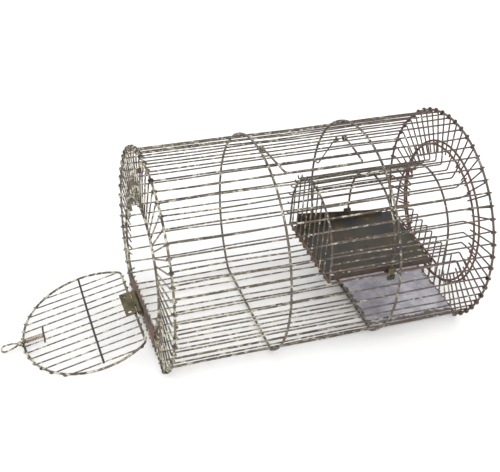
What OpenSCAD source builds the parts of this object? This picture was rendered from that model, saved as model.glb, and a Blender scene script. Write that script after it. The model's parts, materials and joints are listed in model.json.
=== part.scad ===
// Cylindrical wire cage trap for live capture.
// X runs along the cage, with the tunnel entrance at +X and the hinged door at -X.
// Z is up, and the origin is on the ground under the middle of the cage.

/* [Cage] */
// Length between the two end hoops
cage_l = 320; // [280:1:400]
// Radius of the hoops, to the middle of their wire
hoop_r = 110; // [91:1:132]
// Angle below level where each hoop's curve meets its flat bottom
flat_angle = 50.6; // [48:0.1:56]
// Diameter of the hoop wire
hoop_d = 2.4; // [2:0.1:3]
// Diameter of the cage bars
bar_d = 1.8; // [1.4:0.1:2]
// Spaces between the bars, from the top bar down to the flat bottom on each side
side_gaps = 21; // [17:1:26]
// Spaces between the bars across the flat bottom
floor_gaps = 11; // [9:1:12]

/* [Door] */
// Radius of the door's ring
door_r = 70.5; // [58:0.25:75]
// Distance from the hinge pin to the middle of the door's ring
hinge_reach = 47.2; // [44:0.1:52]
// Drop of the hinge pin below the cage's axis
hinge_drop = 54; // [50:0.5:57]
// Spacing of the door's bars
door_gap = 10; // [9:0.5:13]
// Lap of the door's ring over the ring of the opening
door_lap = 3.5; // [2.5:0.1:5]

/* [Tunnel] */
// Radius of the tunnel's arches
tunnel_r = 55; // [45:0.5:66]
// Drop of the tunnel's base below the cage's axis
tunnel_drop = 25; // [20:0.5:30]
// Length of the tunnel from the entrance hoop inwards
tunnel_l = 146; // [120:1:180]
// Radius of the entrance ring
entrance_r = 77; // [64:0.5:80]

/* [Platform] */
// Thickness of the platform's sheet
sheet_t = 0.8; // [0.6:0.1:1.2]
// Height of the upturned sides at the inner end
side_h = 15; // [12:0.5:18]
// Height of the upturned sides towards the entrance
side_low = 3; // [2:0.5:5]
// Diameter of the platform's axle
axle_d = 3; // [2.5:0.1:3.6]

/* [Handle] */
// Distance from the handle's pivot bar to its grip
handle_reach = 41.6; // [36:0.2:46]
// Diameter of the handle's wire
handle_d = 2; // [1.6:0.1:2.2]

/* [Hidden] */
$fn = 32;
ring_fn = 120;

// Cage: the bars lie inside the hoops, and the hoops stand on the wraps of the end hoops.
flat_drop = hoop_r * sin(flat_angle);
axis_z = flat_drop + hoop_d / 2 + bar_d;
flat_half = hoop_r * cos(flat_angle);
door_x = -cage_l / 2;
entrance_x = cage_l / 2;
middle_share = 0.344;
hoop_1_x = door_x + middle_share * cage_l;
hoop_2_x = door_x + 2 * middle_share * cage_l;
bar_line_r = hoop_r - hoop_d / 2 - bar_d / 2;
floor_top = axis_z - flat_drop + hoop_d / 2 + bar_d;
spoke_out = hoop_d / 2 + bar_d / 2;
wrap_r = hoop_d / 2 + bar_d / 2;
corner_inset = 0.6;
past_ring = 8;
past_entrance = 11;
arc_gaps = 2 * side_gaps;
arc_step = (180 + 2 * flat_angle) / arc_gaps;
far_bars = [0 : floor(arc_gaps / 3)];
top_bars = [floor(arc_gaps / 3) + 1 : arc_gaps - floor(arc_gaps / 3) - 1];
near_bars = [arc_gaps - floor(arc_gaps / 3) : arc_gaps];

// Door end: the opening is a ring cut off by a folded sheet strip.
opening_r = door_r - door_lap;
opening_drop = 5;
opening_d = 2.4;
strip_t = 4;
strip_h = 9;
strip_half = 54;
strip_over_pin = 3.5;
hinge_z = axis_z - hinge_drop;
strip_top = hinge_z + strip_over_pin;
spoke_into_strip = 2.5;
ring_into_strip = 1.5;
strip_x = door_x - spoke_out - bar_d / 2 - 0.1;
opening_x = door_x - spoke_out - bar_d / 2 - opening_d / 2;

// Hinge: a pin through three knuckles.
leaf_t = 1;
pin_r = 1.2;
knuckle_r = 2.4;
bore_gap = 0.06;
hinge_half = 17;
hinge_y = 3;
knuckle_gap = 0.4;
knuckle_end_gap = 0.3;
hinge_x = strip_x - strip_t - knuckle_r - knuckle_gap;
leaf_u = 14.2;
hole_u = 9.4;
hole_y = 12.6;
hole_r = 1.9;
free_edge_z = 6.5;
door_tilt = asin((hinge_z - free_edge_z) / (hinge_reach + door_r));
door_swing = 90 + door_tilt;

// Door grille, laid out flat: u runs from the hinge to the free edge, w is up through the door.
door_d = 2.4;
door_bar_d = 1.6;
base_gap = 1.1;
base_u = knuckle_r + door_d / 2 + base_gap;
bar_w = -door_d / 2 - door_bar_d / 2;
bar_past = 0.3;
crossbar_d = 2.2;
crossbar_off = 1.3;

// Latch: a sprung pull loop that slides through a guide on the door's ring.
latch_y = 1.5;
loop_d = 1.8;
shank_d = 1.6;
guide_r = 1.5;
latch_w = door_d / 2 + guide_r;
guide_l = 5;
guide_u = hinge_reach + door_r - 3.3;
spring_l = 17.2;
spring_r = 2.5;
spring_bore_r = 1.5;
tee_u = guide_u - spring_l;
tee_half = 11;
loop_u = guide_u + 20.8;
loop_half = 4.6;
loop_l = 13.5;
loop_shoulder = [9, 3.8];
catch_r = 4.5;
catch_gap = 0.6;

// Tunnel.
arch_d = 2.2;
tunnel_bar_d = 1.6;
base_z = axis_z - tunnel_drop;
arch_1_x = entrance_x - tunnel_l;
arch_2_x = entrance_x - 0.534 * tunnel_l;
arch_3_x = entrance_x - 18;
sill_x = entrance_x - 25;
roof_r = tunnel_r + arch_d / 2 + tunnel_bar_d / 2;
roof_step = 12;
ring_out_x = entrance_x + spoke_out + bar_d / 2 + hoop_d / 2 - 0.1;
ring_d = 2.2;
ring_in_x = entrance_x + spoke_out - bar_d / 2 - ring_d / 2;
spike_x = ring_in_x - ring_d / 2 - tunnel_bar_d / 2;
roof_end_x = spike_x - tunnel_bar_d / 2;
spike_end_r = entrance_r + past_entrance;
floor_bar_gap = 11;
floor_bar_edge = 6;
floor_bar_count = floor((tunnel_r - floor_bar_edge) / floor_bar_gap);
floor_spike = 3;

// Platform: a sheet tray that tips on an axle, held in two lugs folded down from its sides.
axle_clear = 0.3;
lug_w = 9;
lug_under = 1.4;
plate_side_gap = 5;
plate_half = tunnel_r - plate_side_gap;
plate_x0 = arch_1_x + 2;
plate_x1 = sill_x - arch_d / 2 - 0.7;
stop_gap = 0.3;
plate_z = base_z - arch_d / 2 + stop_gap + sheet_t;
stop_x = plate_x1 - 4;
axle_z = base_z - arch_d / 2 - axle_clear - axle_d / 2;
lug_z = axle_z - axle_d / 2 - lug_under;
side_x0 = plate_x0 + 3;
side_x1 = plate_x1 - 11;
weight = [12, 2 * (plate_half - 12), 6];
bracket = [8, 1.8, 14];
bracket_under = 4.5;
sheet_edge = 6;
floor_sheet_t = 0.6;

// Handle and bait hook hang on the top bar.
pivot_z = axis_z + bar_line_r;
eye_x = [-47, 38];
grip_x = [-37, 41];
eye_r = 2.6;
over_bars = bar_d / 2 + handle_d / 2 + 0.45;
over_hoops = hoop_d / 2 + handle_d / 2 + 0.3;
hook_x = 30;
hook_d = 1.4;
hook_eye_r = 1.9;
hook_reach = [-16, -25];
barb = 4;

function arc_angle(i) = -flat_angle + i * arc_step;
function arc_point(i, r) = [r * cos(arc_angle(i)), r * sin(arc_angle(i))];
function floor_y(j) = -flat_half + j * 2 * flat_half / floor_gaps;

// Distance from the axis to the door opening's ring, in the direction of angle a.
function opening_reach(a) =
    -opening_drop * sin(a)
    + sqrt(opening_r * opening_r - pow(opening_drop * cos(a), 2));

// A straight wire between two points.
module rod(p, q, d) {
    v = q - p;
    translate(p)
        rotate([0, acos(v[2] / norm(v)), atan2(v[1], v[0])])
            cylinder(h = norm(v), d = d);
}

// A ring of wire round the X axis, from angle a0 over the sweep, with a at 0 along +Y.
module ring_x(r, d, a0 = 0, sweep = 360) {
    rotate([a0, 0, 0])
        rotate([0, 90, 0])
            rotate([0, 0, 90])
                rotate_extrude(angle = sweep, $fn = ring_fn)
                    translate([r, 0])
                        circle(d = d, $fn = 32);
}

// A joint where two wires meet at an angle.
module knot(p, d) {
    translate(p)
        sphere(d = d * 1.12);
}

// A hoop with a flat bottom.
module hoop(x) {
    color("DimGray") {
        translate([x, 0, axis_z])
            ring_x(hoop_r, hoop_d, -flat_angle, 180 + 2 * flat_angle);
        rod([x, -flat_half, axis_z - flat_drop], [x, flat_half, axis_z - flat_drop], hoop_d);
        for (side = [-1, 1])
            knot([x, side * flat_half, axis_z - flat_drop], hoop_d);
    }
}

module cage_bar(y, z) {
    end = cage_l / 2 + spoke_out - bar_d / 2;
    rod([-end, y, axis_z + z], [end, y, axis_z + z], bar_d);
}

module arc_bars(span) {
    color("DimGray")
        for (i = span) {
            inset = i == 0 || i == arc_gaps ? corner_inset : 0;
            p = arc_point(i, bar_line_r - inset);
            cage_bar(p[0], p[1]);
        }
}

module cage_bars_floor() {
    color("DimGray")
        for (j = [1 : floor_gaps - 1])
            cage_bar(floor_y(j), floor_top - bar_d / 2 - axis_z);
}

// A spoke from the hoop point p towards the axis, stopping at radius end_r.
module spoke(x, p, start, end_r) {
    u = -p / norm(p);
    a = p + start * u;
    b = -end_r * u;
    rod([x, a[0], axis_z + a[1]], [x, b[0], axis_z + b[1]], bar_d);
}

// The spokes at the hoop's two corners start clear of the bend.
function spoke_start(i) = i == 0 || i == arc_gaps ? 1.6 : 0;

// How far from the axis a door end spoke stops: at the strip, or just past the ring.
function door_spoke_end(p) =
    let (k = (strip_top - spoke_into_strip - axis_z) / p[1], y = p[0] * k)
    p[1] < 0 && abs(y) < strip_half - 1 ? k * norm(p) : opening_reach(atan2(p[1], p[0])) - past_ring;

module door_end_spokes() {
    x = door_x - spoke_out;
    color("DimGray") {
        for (i = [0 : arc_gaps]) {
            p = arc_point(i, hoop_r);
            spoke(x, p, spoke_start(i), door_spoke_end(p));
        }
        for (j = [1 : floor_gaps - 1]) {
            p = [floor_y(j), -flat_drop];
            spoke(x, p, 1, door_spoke_end(p));
        }
    }
}

module entrance_end_spokes() {
    x = entrance_x + spoke_out;
    color("DimGray") {
        for (i = [0 : arc_gaps])
            spoke(x, arc_point(i, hoop_r), spoke_start(i), entrance_r - past_entrance);
        for (j = [1 : floor_gaps - 1])
            spoke(x, [floor_y(j), -flat_drop], 1, entrance_r - past_entrance);
    }
}

// Half a turn of bar wire over the outside of an end hoop.
module wrap(x, p, a) {
    translate([x, p[0], axis_z + p[1]])
        rotate([a, 0, 0])
            rotate_extrude(angle = 180)
                translate([wrap_r, 0])
                    circle(d = bar_d);
}

module end_wraps(x) {
    color("DimGray") {
        for (i = [1 : arc_gaps - 1])
            wrap(x, arc_point(i, hoop_r), arc_angle(i));
        for (j = [1 : floor_gaps - 1])
            wrap(x, [floor_y(j), -flat_drop], -90);
    }
}

module opening_ring() {
    start = asin((strip_top + ring_into_strip - axis_z + opening_drop) / opening_r);
    color("DimGray")
        translate([opening_x, 0, axis_z - opening_drop])
            ring_x(opening_r, opening_d, start, 180 - 2 * start);
}

module entrance_ring(x, r) {
    color("SaddleBrown")
        translate([x, 0, axis_z])
            ring_x(r, ring_d);
}

module sill_strip() {
    color("RosyBrown")
        translate([strip_x - strip_t, -strip_half, strip_top - strip_h])
            cube([strip_t, 2 * strip_half, strip_h]);
}

module hinge_leaf_cage() {
    third = hinge_half / 3;
    top = hinge_z - knuckle_r - knuckle_end_gap;
    leaf_x = strip_x - strip_t - leaf_t;
    bottom = strip_top - strip_h;
    color("Olive")
        difference() {
            union() {
                translate([leaf_x, hinge_y - hinge_half, bottom])
                    cube([leaf_t, 2 * hinge_half, top - bottom]);
                for (y0 = [-hinge_half, third]) {
                    translate([hinge_x, hinge_y, hinge_z])
                        rotate([-90, 0, 0])
                            translate([0, 0, y0])
                                cylinder(h = hinge_half - third, r = knuckle_r);
                    translate([leaf_x, hinge_y + y0, top - 0.5])
                        cube([leaf_t, hinge_half - third, hinge_z - 0.1 - top + 0.5]);
                }
            }
            translate([hinge_x, hinge_y - hinge_half - 1, hinge_z])
                rotate([-90, 0, 0])
                    cylinder(h = 2 * hinge_half + 2, r = pin_r);
        }
}

module hinge_pin() {
    color("DarkGoldenrod")
        translate([hinge_x, hinge_y - hinge_half - 1, hinge_z])
            rotate([-90, 0, 0])
                cylinder(h = 2 * hinge_half + 2, r = pin_r);
}

// The catch: a stem along the top spoke that turns up into a hook above the latch's loop.
module door_catch() {
    x = door_x - spoke_out - bar_d;
    z = hinge_z + loop_u + loop_half + loop_d / 2 + catch_gap + bar_d / 2 + catch_r;
    color("Gainsboro") {
        rod([x, 0, z], [x, 0, axis_z + hoop_r - hoop_d / 2 - 0.1], bar_d);
        translate([x - catch_r, 0, z])
            rotate([90, 0, 0])
                rotate_extrude(angle = -180, $fn = 48)
                    translate([catch_r, 0])
                        circle(d = bar_d, $fn = 32);
        knot([x, 0, z], bar_d);
    }
}

// An arch on straight legs that stand on the rails.
module tunnel_arch(x) {
    foot = base_z + arch_d / 2;
    color("DimGray") {
        translate([x, 0, axis_z])
            ring_x(tunnel_r, arch_d, 0, 180);
        for (side = [-1, 1]) {
            rod([x, side * tunnel_r, foot], [x, side * tunnel_r, axis_z], arch_d);
            knot([x, side * tunnel_r, axis_z], arch_d);
        }
    }
}

module tunnel_roof_bars() {
    x0 = arch_1_x - arch_d / 2;
    leg_z = axis_z - tunnel_drop / 2;
    color("DimGray") {
        for (a = [0 : roof_step : 180]) {
            p = [roof_r * cos(a), axis_z + roof_r * sin(a)];
            rod([x0, p[0], p[1]], [roof_end_x, p[0], p[1]], tunnel_bar_d);
        }
        for (side = [-1, 1])
            rod([x0, side * roof_r, leg_z], [roof_end_x, side * roof_r, leg_z], tunnel_bar_d);
    }
}

// A spike that turns outwards from the tunnel wall point p.
module mouth_spike(p) {
    u = p / norm(p);
    a = p - u * tunnel_bar_d / 2;
    b = u * spike_end_r;
    rod([spike_x, a[0], axis_z + a[1]], [spike_x, b[0], axis_z + b[1]], tunnel_bar_d);
}

module tunnel_mouth_spikes() {
    color("SaddleBrown") {
        for (a = [0 : roof_step : 180])
            mouth_spike([roof_r * cos(a), roof_r * sin(a)]);
        for (side = [-1, 1]) {
            mouth_spike([side * roof_r, -tunnel_drop / 2]);
            mouth_spike([side * tunnel_r, -tunnel_drop]);
        }
        for (k = [-floor_bar_count : floor_bar_count]) {
            y = k * floor_bar_gap;
            low = sqrt(pow(entrance_r + floor_spike, 2) - y * y);
            rod([spike_x, y, base_z + tunnel_bar_d / 2], [spike_x, y, axis_z - low], tunnel_bar_d);
        }
    }
}

module tunnel_end_bars() {
    x = arch_1_x - arch_d / 2 - tunnel_bar_d / 2;
    color("DimGray")
        for (k = [-floor_bar_count : floor_bar_count]) {
            y = k * floor_bar_gap;
            top = axis_z + sqrt(tunnel_r * tunnel_r - y * y) + 1;
            rod([x, y, base_z - 2], [x, y, top], tunnel_bar_d);
        }
}

module tunnel_rails() {
    color("Sienna")
        for (side = [-1, 1])
            rod([arch_1_x + arch_d / 2, side * tunnel_r, base_z],
                [roof_end_x, side * tunnel_r, base_z], arch_d);
}

// A wire across the tunnel.
module cross_wire(x, z, half) {
    color("Sienna")
        rod([x, -half, z], [x, half, z], arch_d);
}

module tunnel_floor_bars() {
    color("DimGray")
        for (k = [-floor_bar_count : floor_bar_count]) {
            y = k * floor_bar_gap;
            rod([sill_x + arch_d / 2, y, base_z], [roof_end_x, y, base_z], tunnel_bar_d);
        }
}

// The brackets stand outside the rails and carry the axle.
module platform_brackets() {
    t = bracket[1];
    color("DarkKhaki")
        for (side = [-1, 1])
            translate([0, side * (tunnel_r + arch_d / 2 + t / 2), 0])
                difference() {
                    translate([arch_2_x - bracket[0] / 2, -t / 2, axle_z - bracket_under])
                        cube(bracket);
                    translate([arch_2_x, -t, axle_z])
                        rotate([-90, 0, 0])
                            cylinder(h = 2 * t, d = axle_d + 2 * bore_gap);
                }
}

module floor_sheet() {
    half = flat_half - sheet_edge;
    x0 = hoop_2_x + 1.5;
    color("LightSteelBlue")
        translate([x0, -half, floor_top])
            cube([entrance_x - 2 - x0, 2 * half, floor_sheet_t]);
}

// Places a part of the door, modelled flat with the pin at its origin, at its resting tilt.
module at_door() {
    translate([hinge_x, 0, hinge_z])
        rotate([0, -door_tilt, 0])
            mirror([1, 0, 0])
                children();
}

module door_ring() {
    cut = acos((base_u - hinge_reach) / door_r);
    half = door_r * sin(cut);
    color("DimGray")
        at_door() {
            translate([hinge_reach, 0, 0])
                rotate([0, 0, -cut])
                    rotate_extrude(angle = 2 * cut, $fn = ring_fn)
                        translate([door_r, 0])
                            circle(d = door_d, $fn = 32);
            rod([base_u, -half, 0], [base_u, half, 0], door_d);
            for (side = [-1, 1])
                knot([base_u, side * half, 0], door_d);
        }
}

module door_bars() {
    count = floor((door_r - 5) / door_gap);
    color("DimGray")
        at_door()
            for (k = [-count : count]) {
                y = k * door_gap;
                half = sqrt(door_r * door_r - y * y);
                u0 = max(base_u, hinge_reach - half);
                rod([u0 - bar_past, y, bar_w], [hinge_reach + half + bar_past, y, bar_w], door_bar_d);
            }
}

module door_crossbar() {
    w = bar_w + door_bar_d / 2 + crossbar_d / 2;
    u = hinge_reach + crossbar_off;
    color("DarkSlateGray")
        at_door()
            rod([u, 7.5 - door_r, w], [u, door_r - door_d / 2 - 0.6, w], crossbar_d);
}

module hinge_leaf_door() {
    third = hinge_half / 3;
    w = door_d / 2;
    color("Olive")
        at_door()
            translate([0, hinge_y, 0])
                difference() {
                    union() {
                        rotate([-90, 0, 0])
                            translate([0, 0, -third + knuckle_end_gap])
                                cylinder(h = 2 * (third - knuckle_end_gap), r = knuckle_r);
                        translate([0.3, -third + knuckle_end_gap, w])
                            cube([5, 2 * (third - knuckle_end_gap), leaf_t]);
                        translate([knuckle_r + knuckle_end_gap, -hinge_half, w])
                            cube([leaf_u - knuckle_r - knuckle_end_gap, 2 * hinge_half, leaf_t]);
                    }
                    rotate([-90, 0, 0])
                        translate([0, 0, -third])
                            cylinder(h = 2 * third, r = pin_r + bore_gap);
                    for (side = [-1, 1])
                        translate([hole_u, side * hole_y, w - 1])
                            cylinder(h = leaf_t + 2, r = hole_r);
                }
}

module latch_guide() {
    color("DarkKhaki")
        at_door()
            translate([guide_u, latch_y, latch_w])
                rotate([0, 90, 0])
                    difference() {
                        cylinder(h = guide_l, r = guide_r);
                        translate([0, 0, -1])
                            cylinder(h = guide_l + 2, d = shank_d + 2 * bore_gap);
                    }
}

module latch_loop() {
    neck_u = loop_u - loop_l;
    shoulder_u = loop_u - loop_shoulder[0];
    color("DimGray")
        at_door()
            translate([0, latch_y, latch_w]) {
                rod([tee_u, 0, 0], [neck_u, 0, 0], shank_d);
                knot([neck_u, 0, 0], loop_d);
                translate([loop_u, 0, 0])
                    rotate([0, 0, -90])
                        rotate_extrude(angle = 180, $fn = 48)
                            translate([loop_half, 0])
                                circle(d = loop_d, $fn = 32);
                for (side = [-1, 1]) {
                    rod([neck_u, 0, 0], [shoulder_u, side * loop_shoulder[1], 0], loop_d);
                    knot([shoulder_u, side * loop_shoulder[1], 0], loop_d);
                    rod([shoulder_u, side * loop_shoulder[1], 0], [loop_u, side * loop_half, 0], loop_d);
                    knot([loop_u, side * loop_half, 0], loop_d);
                }
            }
}

module latch_tee() {
    color("DarkSlateGray")
        at_door()
            translate([tee_u - loop_d / 2, latch_y, latch_w])
                rod([0, -tee_half, 0], [0, tee_half, 0], loop_d);
}

module latch_spring() {
    color("Tan")
        at_door()
            translate([tee_u + 0.05, latch_y, latch_w])
                rotate([0, 90, 0])
                    difference() {
                        cylinder(h = spring_l - 0.1, r = spring_r);
                        translate([0, 0, -1])
                            cylinder(h = spring_l + 2, r = spring_bore_r);
                    }
}

module platform_plate() {
    color("DarkSlateGray")
        difference() {
            union() {
                translate([plate_x0, -plate_half, plate_z - sheet_t])
                    cube([plate_x1 - plate_x0, 2 * plate_half, sheet_t]);
                for (y = [-plate_half, plate_half - sheet_t]) {
                    translate([arch_2_x - lug_w / 2, y, lug_z])
                        cube([lug_w, sheet_t, plate_z - sheet_t / 2 - lug_z]);
                    translate([0, y + sheet_t, plate_z])
                        rotate([90, 0, 0])
                            linear_extrude(height = sheet_t)
                                polygon([
                                    [side_x0, -sheet_t / 2],
                                    [side_x1, -sheet_t / 2],
                                    [side_x1, side_low],
                                    [side_x0, side_h]
                                ]);
                }
            }
            translate([arch_2_x, -plate_half - 1, axle_z])
                rotate([-90, 0, 0])
                    cylinder(h = 2 * plate_half + 2, d = axle_d);
        }
}

module platform_axle() {
    half = tunnel_r + arch_d / 2 + 3;
    color("DarkKhaki")
        translate([arch_2_x, -half, axle_z])
            rotate([-90, 0, 0])
                cylinder(h = 2 * half, d = axle_d);
}

module counterweight() {
    color("Gray")
        translate([side_x1 - 1 - weight[0], -weight[1] / 2, plate_z - sheet_t - weight[2]])
            cube(weight);
}

// The bail: two eyes on the top bar, two arms that bend over the next bar, and the grip.
module carry_handle() {
    bend = arc_point(side_gaps + 1, bar_line_r + over_bars) - [0, bar_line_r];
    grip_z = axis_z + sqrt(pow(hoop_r + over_hoops, 2) - handle_reach * handle_reach);
    color("DimGray") {
        for (k = [0, 1]) {
            bend_x = eye_x[k] + (grip_x[k] - eye_x[k]) * 0.3;
            u = bend / norm(bend);
            start = [eye_x[k], u[0] * eye_r, pivot_z + u[1] * eye_r];
            mid = [bend_x, bend[0], pivot_z + bend[1]];
            corner = [grip_x[k], -handle_reach, grip_z];
            translate([eye_x[k], 0, pivot_z])
                ring_x(eye_r, handle_d);
            rod(start, mid, handle_d);
            knot(start, handle_d);
            knot(mid, handle_d);
            rod(mid, corner, handle_d);
            knot(corner, handle_d);
        }
        rod([grip_x[0], -handle_reach, grip_z], [grip_x[1], -handle_reach, grip_z], handle_d);
    }
}

// The bait hook: an eye on the top bar, a slanted shank and a short barb.
module bait_hook() {
    top = [hook_x, 0, pivot_z - hook_eye_r];
    low = [hook_x + hook_reach[0], 0, pivot_z + hook_reach[1]];
    color("DimGray") {
        translate([hook_x, 0, pivot_z])
            ring_x(hook_eye_r, hook_d);
        knot(top, hook_d);
        rod(top, low, hook_d);
        knot(low, hook_d);
        rod(low, low + [-barb, 0, barb], hook_d);
    }
}

hoop(door_x);  // door_end_hoop
hoop(hoop_1_x);  // middle_hoop_1
hoop(hoop_2_x);  // middle_hoop_2
hoop(entrance_x);  // entrance_end_hoop
opening_ring();
entrance_ring(ring_out_x, entrance_r);  // entrance_ring_outer
entrance_ring(ring_in_x, entrance_r - 3);  // entrance_ring_inner
arc_bars(far_bars);  // cage_bars_far
arc_bars(top_bars);  // cage_bars_top
arc_bars(near_bars);  // cage_bars_near
cage_bars_floor();
door_end_spokes();
entrance_end_spokes();
end_wraps(door_x);  // door_end_wraps
end_wraps(entrance_x);  // entrance_end_wraps
sill_strip();
hinge_leaf_cage();
hinge_pin();
door_catch();
tunnel_arch(arch_1_x);  // tunnel_arch_inner
tunnel_arch(arch_2_x);  // tunnel_arch_middle
tunnel_arch(arch_3_x);  // tunnel_arch_outer
tunnel_roof_bars();
tunnel_mouth_spikes();
tunnel_end_bars();
tunnel_rails();
cross_wire(arch_1_x, base_z, tunnel_r + arch_d / 2);  // tunnel_end_chord
cross_wire(stop_x, base_z - arch_d, tunnel_r);  // platform_stop_bar
cross_wire(sill_x, base_z, tunnel_r - arch_d / 2);  // entrance_sill
tunnel_floor_bars();
platform_brackets();
floor_sheet();
door_ring();
door_bars();
door_crossbar();
hinge_leaf_door();
latch_guide();
latch_loop();
latch_tee();
latch_spring();
platform_plate();
platform_axle();
counterweight();
carry_handle();
bait_hook();
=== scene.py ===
import json
import math
import random

import bmesh
import bpy
from mathutils import Matrix, Vector


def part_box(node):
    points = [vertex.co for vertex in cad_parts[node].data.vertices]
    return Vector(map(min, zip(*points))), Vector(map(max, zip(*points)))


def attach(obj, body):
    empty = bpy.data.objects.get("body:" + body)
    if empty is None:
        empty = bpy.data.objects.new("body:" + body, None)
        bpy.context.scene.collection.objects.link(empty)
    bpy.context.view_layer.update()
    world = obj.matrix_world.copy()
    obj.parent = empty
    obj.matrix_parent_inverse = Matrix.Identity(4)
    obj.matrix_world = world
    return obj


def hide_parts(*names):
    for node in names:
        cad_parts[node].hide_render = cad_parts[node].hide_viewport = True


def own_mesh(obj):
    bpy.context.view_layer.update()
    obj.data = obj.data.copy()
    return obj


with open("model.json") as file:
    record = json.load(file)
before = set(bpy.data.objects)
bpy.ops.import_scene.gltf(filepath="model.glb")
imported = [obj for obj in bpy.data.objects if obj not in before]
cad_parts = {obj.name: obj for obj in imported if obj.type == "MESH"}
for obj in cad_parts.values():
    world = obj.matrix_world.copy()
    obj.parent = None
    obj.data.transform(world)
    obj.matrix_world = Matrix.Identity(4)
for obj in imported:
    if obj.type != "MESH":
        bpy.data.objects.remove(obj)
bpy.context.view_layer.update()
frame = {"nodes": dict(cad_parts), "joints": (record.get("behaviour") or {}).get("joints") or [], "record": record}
nodes = frame["nodes"]
mm = 0.001
hand = random.Random(11)  # the unevenness of hand-bent wire
axisX = Vector((1, 0, 0))
print("frame loaded")


def middle(name):
    low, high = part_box(name)
    return (low + high) / 2


# places that the frame gives
cage = {
    "hoopD": 2.4 * mm,
    "barD": 1.65 * mm,
    "arcGaps": 42,
    "floorGaps": 11,
    "topBars": range(15, 28),
}
hoopLow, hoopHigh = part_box("middle_hoop_1")
hoopR = (hoopHigh.y - hoopLow.y - cage["hoopD"]) / 2
axisZ = hoopHigh.z - cage["hoopD"] / 2 - hoopR
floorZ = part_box("cage_bars_floor")[0].z - cage["hoopD"] / 2
flatAngle = math.asin((axisZ - floorZ) / hoopR)
flatHalf = hoopR * math.cos(flatAngle)
wrapR = (cage["hoopD"] + cage["barD"]) / 2
doorX = middle("door_end_hoop").x
entranceX = middle("entrance_end_hoop").x
hoopXs = [entranceX, middle("middle_hoop_2").x, middle("middle_hoop_1").x, doorX]


# Materials

def newGroup(name, inputs, outputs):
    group = bpy.data.node_groups.new(name, "ShaderNodeTree")
    for label, kind, value in inputs:
        group.interface.new_socket(label, in_out="INPUT", socket_type=kind).default_value = value
    for label, kind in outputs:
        group.interface.new_socket(label, in_out="OUTPUT", socket_type=kind)
    return group


def put(tree, kind, **settings):
    node = tree.nodes.new(kind)
    for key, value in settings.items():
        setattr(node, key, value)
    return node


def calc(tree, operation, a, b=None):
    node = put(tree, "ShaderNodeMath", operation=operation)
    for socket, value in zip(node.inputs, (a, b)):
        if isinstance(value, (int, float)):
            socket.default_value = value
        elif value is not None:
            tree.links.new(value, socket)
    return node.outputs[0]


def spread(tree, value, low, high, outLow=0.0, outHigh=1.0):
    node = put(tree, "ShaderNodeMapRange", interpolation_type="SMOOTHSTEP")
    tree.links.new(value, node.inputs["Value"])
    limits = {"From Min": low, "From Max": high, "To Min": outLow, "To Max": outHigh}
    for label, number in limits.items():
        if isinstance(number, (int, float)):
            node.inputs[label].default_value = number
        else:
            tree.links.new(number, node.inputs[label])
    return node.outputs["Result"]


def noise(tree, vector, scale, detail=3.0, rough=0.55):
    node = put(tree, "ShaderNodeTexNoise")
    tree.links.new(vector, node.inputs["Vector"])
    node.inputs["Scale"].default_value = scale
    node.inputs["Detail"].default_value = detail
    node.inputs["Roughness"].default_value = rough
    return node.outputs["Fac"]


# Rust, grime and light spots over old metal. The light spots are partly rubbed wear and partly painted highlight,
# the cream glints where light catches the wire. Lean makes it rustier towards the entrance.
def makeWearAndHighlight():
    group = newGroup(
        "wearAndHighlight",
        [
            ("Rust", "NodeSocketFloat", 0.5),
            ("Bright", "NodeSocketFloat", 0.3),
            ("Lean", "NodeSocketFloat", 0.0),
        ],
        [
            ("Rust", "NodeSocketFloat"),
            ("Bright", "NodeSocketFloat"),
            ("Grime", "NodeSocketFloat"),
            ("Height", "NodeSocketFloat"),
        ],
    )
    start = put(group, "NodeGroupInput")
    end = put(group, "NodeGroupOutput")
    place = put(group, "ShaderNodeTexCoord").outputs["Object"]
    parts = put(group, "ShaderNodeSeparateXYZ")
    group.links.new(place, parts.inputs[0])
    patches = noise(group, place, 55.0, 4.0, 0.6)
    blotches = noise(group, place, 170.0, 4.0, 0.65)
    grains = noise(group, place, 900.0, 3.0, 0.7)
    lean = calc(group, "MULTIPLY", calc(group, "MULTIPLY", parts.outputs["X"], 3.0), start.outputs["Lean"])
    amount = calc(group, "ADD", start.outputs["Rust"], lean)
    large = calc(group, "MULTIPLY", patches, 0.65)
    small = calc(group, "MULTIPLY", blotches, 0.35)
    mixed = calc(group, "ADD", large, small)
    edge = calc(group, "SUBTRACT", 0.78, calc(group, "MULTIPLY", amount, 0.5))
    rust = spread(group, mixed, calc(group, "SUBTRACT", edge, 0.06), calc(group, "ADD", edge, 0.07))
    pitted = calc(group, "MULTIPLY", rust, spread(group, grains, 0.25, 0.5, 0.55, 1.0))
    # Light spots: partly rubbed wear, partly painted highlight.
    rubAndHighlightNoise = calc(group, "ADD", calc(group, "MULTIPLY", blotches, 0.7), calc(group, "MULTIPLY", grains, 0.3))
    rubAndHighlightEdge = calc(group, "SUBTRACT", 0.72, calc(group, "MULTIPLY", start.outputs["Bright"], 0.3))
    rubAndHighlight = spread(group, rubAndHighlightNoise, rubAndHighlightEdge, calc(group, "ADD", rubAndHighlightEdge, 0.05))
    high = calc(group, "ADD", calc(group, "MULTIPLY", grains, 0.5), calc(group, "MULTIPLY", blotches, 0.5))
    high = calc(group, "MULTIPLY", high, spread(group, rust, 0.0, 1.0, 0.35, 1.0))
    group.links.new(pitted, end.inputs["Rust"])
    group.links.new(rubAndHighlight, end.inputs["Bright"])
    group.links.new(patches, end.inputs["Grime"])
    group.links.new(high, end.inputs["Height"])
    return group


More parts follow.
